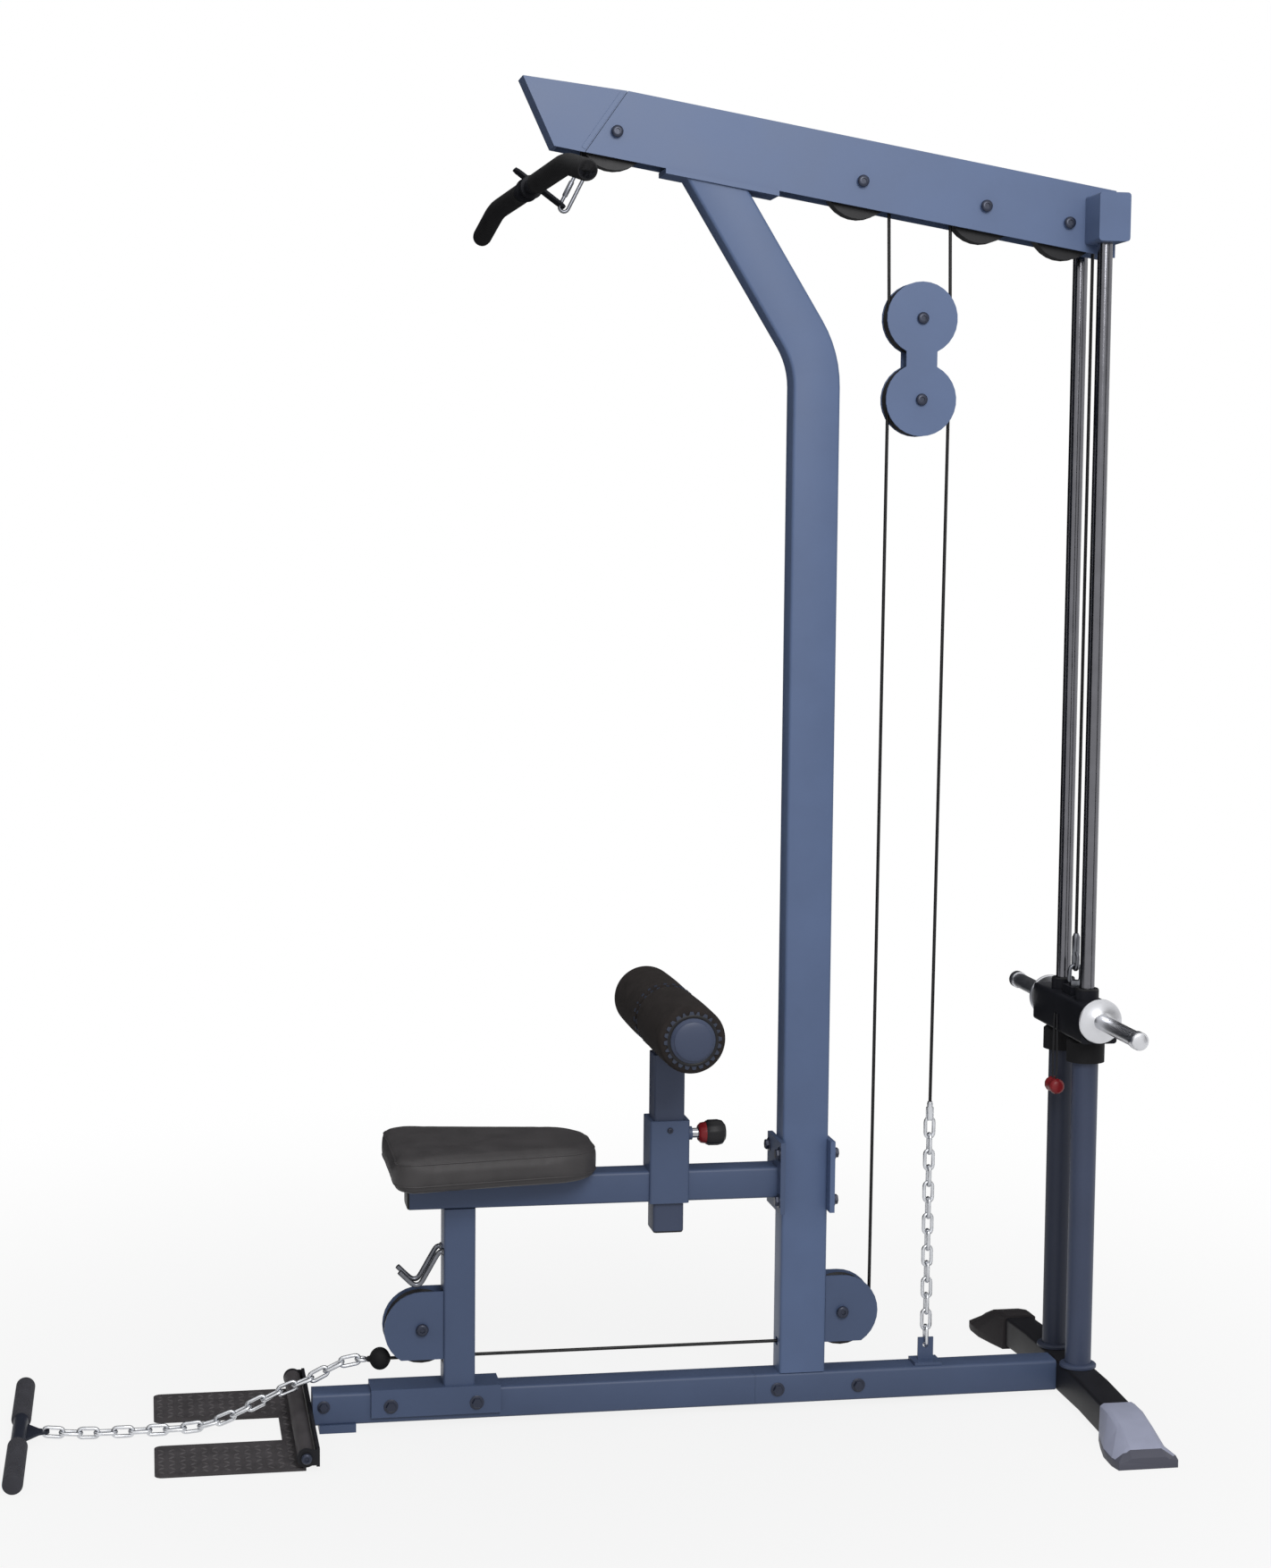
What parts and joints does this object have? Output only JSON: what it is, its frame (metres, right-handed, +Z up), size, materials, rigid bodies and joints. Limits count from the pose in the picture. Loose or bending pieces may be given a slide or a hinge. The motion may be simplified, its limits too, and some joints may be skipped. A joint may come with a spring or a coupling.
{
  "type": "lat pulldown machine",
  "caption": "Plate-loaded lat pulldown and low-row machine: bent upright, cable boom, guided weight carriage, floating pulley block, padded seat with roller hold-down and folding footplate.",
  "frame": {"origin": "middle of the bounding box on the floor", "axes": "+X to the rear, where the weights are; +Y away from the pictured side; +Z up"},
  "size_m": [1.7784, 0.9138, 2.1238],
  "materials": {
    "frame_paint": "slate blue powder coat, semi-gloss",
    "black_paint": "black powder coat",
    "chrome": "bright chrome",
    "zinc": "zinc plated",
    "rubber": "black rubber, matt",
    "foam": "black foam skin, matt",
    "vinyl": "black upholstery vinyl",
    "pulley_plastic": "black nylon",
    "cable_jacket": "black nylon jacket",
    "foot_plastic": "grey plastic",
    "tread_plate": "dark raised-tread steel",
    "red_plastic": "red plastic"
  },
  "bodies": {
    "frame": {"front_base_rail": "frame_paint", "rear_base_rail": "frame_paint", "rear_crossmember": "frame_paint", "rear_foot_near": "foot_plastic", "rear_foot_far": "foot_plastic", "front_post": "frame_paint", "upright": "frame_paint", "boom_channel": "frame_paint", "boom_nose": "frame_paint", "top_stub_near": "frame_paint", "top_stub_far": "frame_paint", "guide_rod_near": "chrome", "guide_rod_far": "chrome", "guide_post_near": "frame_paint", "guide_post_far": "frame_paint", "bumper_near": "rubber", "bumper_far": "rubber", "seat_frame": "frame_paint", "seat_pad": "vinyl", "bar_hook_near": "black_paint", "bar_hook_far": "black_paint", "low_front_bracket": "frame_paint", "low_rear_bracket": "frame_paint", "anchor_bracket": "frame_paint", "anchor_chain": "zinc", "hinge_bar": "frame_paint", "boom_cable_front": "cable_jacket", "boom_cable_rear": "cable_jacket", "lat_cable": "cable_jacket", "carriage_cable": "cable_jacket", "float_cable_high": "cable_jacket", "float_cable_low": "cable_jacket", "low_run_cable": "cable_jacket"},
    "carriage": {"carriage_frame": "black_paint", "weight_post_near": "chrome", "weight_post_far": "chrome", "carriage_eye": "chrome", "lock_pin": "red_plastic"},
    "lat_hook": {"lat_ferrule": "chrome"},
    "lat_bar": {"lat_bar": "rubber", "lat_snap": "chrome"},
    "row_handle": {"row_handle": "rubber", "row_chain": "zinc", "ball_stop": "rubber"},
    "float_block": {"float_bracket": "frame_paint"},
    "float_wheel_upper": {"float_wheel_upper": "pulley_plastic"},
    "float_wheel_lower": {"float_wheel_lower": "pulley_plastic"},
    "low_front_pulley": {"low_front_pulley": "pulley_plastic"},
    "low_rear_pulley": {"low_rear_pulley": "pulley_plastic"},
    "hold_down": {"hold_down_post": "frame_paint", "roller_axle": "frame_paint"},
    "foam_roller_near": {"foam_roller_near": "foam"},
    "foam_roller_far": {"foam_roller_far": "foam"},
    "pop_pin": {"pop_pin": "pulley_plastic"},
    "footplate": {"footplate": "tread_plate"},
    "boom_pulley_1": {"boom_pulley_1": "pulley_plastic"},
    "boom_pulley_2": {"boom_pulley_2": "pulley_plastic"},
    "boom_pulley_3": {"boom_pulley_3": "pulley_plastic"},
    "boom_pulley_4": {"boom_pulley_4": "pulley_plastic"}
  },
  "joints": [
    {"name": "weight_lift", "type": "slide", "parent": "frame", "child": "carriage", "axis": [0, 0, 1], "range_m": [0, 0.9], "deforming": ["carriage_cable"]},
    {"name": "lat_pull", "type": "slide", "parent": "frame", "child": "lat_hook", "axis": [0, 0, -1], "range_m": [0, 0.9], "deforming": ["lat_cable"]},
    {"name": "lat_swivel", "type": "hinge", "parent": "lat_hook", "child": "lat_bar", "pos_m": [0.00135, 0, 1.96], "axis": [0, 0, 1], "range_deg": [-80, 80]},
    {"name": "row_pull", "type": "slide", "parent": "frame", "child": "row_handle", "axis": [-1, 0, 0], "range_m": [0, 0.6]},
    {"name": "float_drop", "type": "slide", "parent": "frame", "child": "float_block", "axis": [0, 0, -1], "range_m": [0, 0.3], "deforming": ["float_cable_high", "float_cable_low"]},
    {"name": "float_upper_spin", "type": "hinge", "parent": "float_block", "child": "float_wheel_upper", "pos_m": [0.55025, 0, 1.7705], "axis": [0, 1, 0], "range_deg": [-5, 1026]},
    {"name": "float_lower_spin", "type": "hinge", "parent": "float_block", "child": "float_wheel_lower", "pos_m": [0.55025, 0, 1.642], "axis": [0, 1, 0], "range_deg": [-345, 5]},
    {"name": "low_front_spin", "type": "hinge", "parent": "frame", "child": "low_front_pulley", "pos_m": [-0.24545, 0, 0.16], "axis": [0, 1, 0], "range_deg": [-5, 685]},
    {"name": "low_rear_spin", "type": "hinge", "parent": "frame", "child": "low_rear_pulley", "pos_m": [0.44375, 0, 0.16], "axis": [0, 1, 0], "range_deg": [-5, 685]},
    {"name": "hold_down_slide", "type": "slide", "parent": "frame", "child": "hold_down", "axis": [0, 0, 1], "range_m": [-0.06, 0.09]},
    {"name": "roller_near_spin", "type": "hinge", "parent": "hold_down", "child": "foam_roller_near", "pos_m": [0.15175, 0, 0.65], "axis": [0, 1, 0], "continuous": true},
    {"name": "roller_far_spin", "type": "hinge", "parent": "hold_down", "child": "foam_roller_far", "pos_m": [0.15175, 0, 0.65], "axis": [0, 1, 0], "continuous": true},
    {"name": "pop_pin_pull", "type": "slide", "parent": "frame", "child": "pop_pin", "axis": [1, 0, 0], "range_m": [0, 0.012], "stiffness_N_per_m": 600},
    {"name": "footplate_flip", "type": "hinge", "parent": "frame", "child": "footplate", "pos_m": [-0.43925, 0, 0.022], "axis": [0, 1, 0], "range_deg": [0, 90]},
    {"name": "boom_spin_1", "type": "hinge", "parent": "frame", "child": "boom_pulley_1", "pos_m": [0.05185, 0, 2.0435], "axis": [0, 1, 0], "range_deg": [-1026, 5]},
    {"name": "boom_spin_2", "type": "hinge", "parent": "frame", "child": "boom_pulley_2", "pos_m": [0.44515, 0, 1.9805], "axis": [0, 1, 0], "range_deg": [-1026, 5]},
    {"name": "boom_spin_3", "type": "hinge", "parent": "frame", "child": "boom_pulley_3", "pos_m": [0.64795, 0, 1.94802], "axis": [0, 1, 0], "range_deg": [-1026, 5]},
    {"name": "boom_spin_4", "type": "hinge", "parent": "frame", "child": "boom_pulley_4", "pos_m": [0.78665, 0, 1.9258], "axis": [0, 1, 0], "range_deg": [-1026, 5]}
  ],
  "couplings": [
    {"joint": "lat_pull", "follows": "weight_lift", "ratio": 1},
    {"joint": "float_upper_spin", "follows": "weight_lift", "rad_per_m": 19.802},
    {"joint": "float_drop", "follows": "row_pull", "ratio": 0.5},
    {"joint": "low_front_spin", "follows": "row_pull", "rad_per_m": 19.802},
    {"joint": "low_rear_spin", "follows": "row_pull", "rad_per_m": 19.802},
    {"joint": "float_lower_spin", "follows": "row_pull", "rad_per_m": -9.901},
    {"joint": "boom_spin_1", "follows": "weight_lift", "rad_per_m": -19.802},
    {"joint": "boom_spin_2", "follows": "weight_lift", "rad_per_m": -19.802},
    {"joint": "boom_spin_3", "follows": "weight_lift", "rad_per_m": -19.802},
    {"joint": "boom_spin_4", "follows": "weight_lift", "rad_per_m": -19.802}
  ]
}
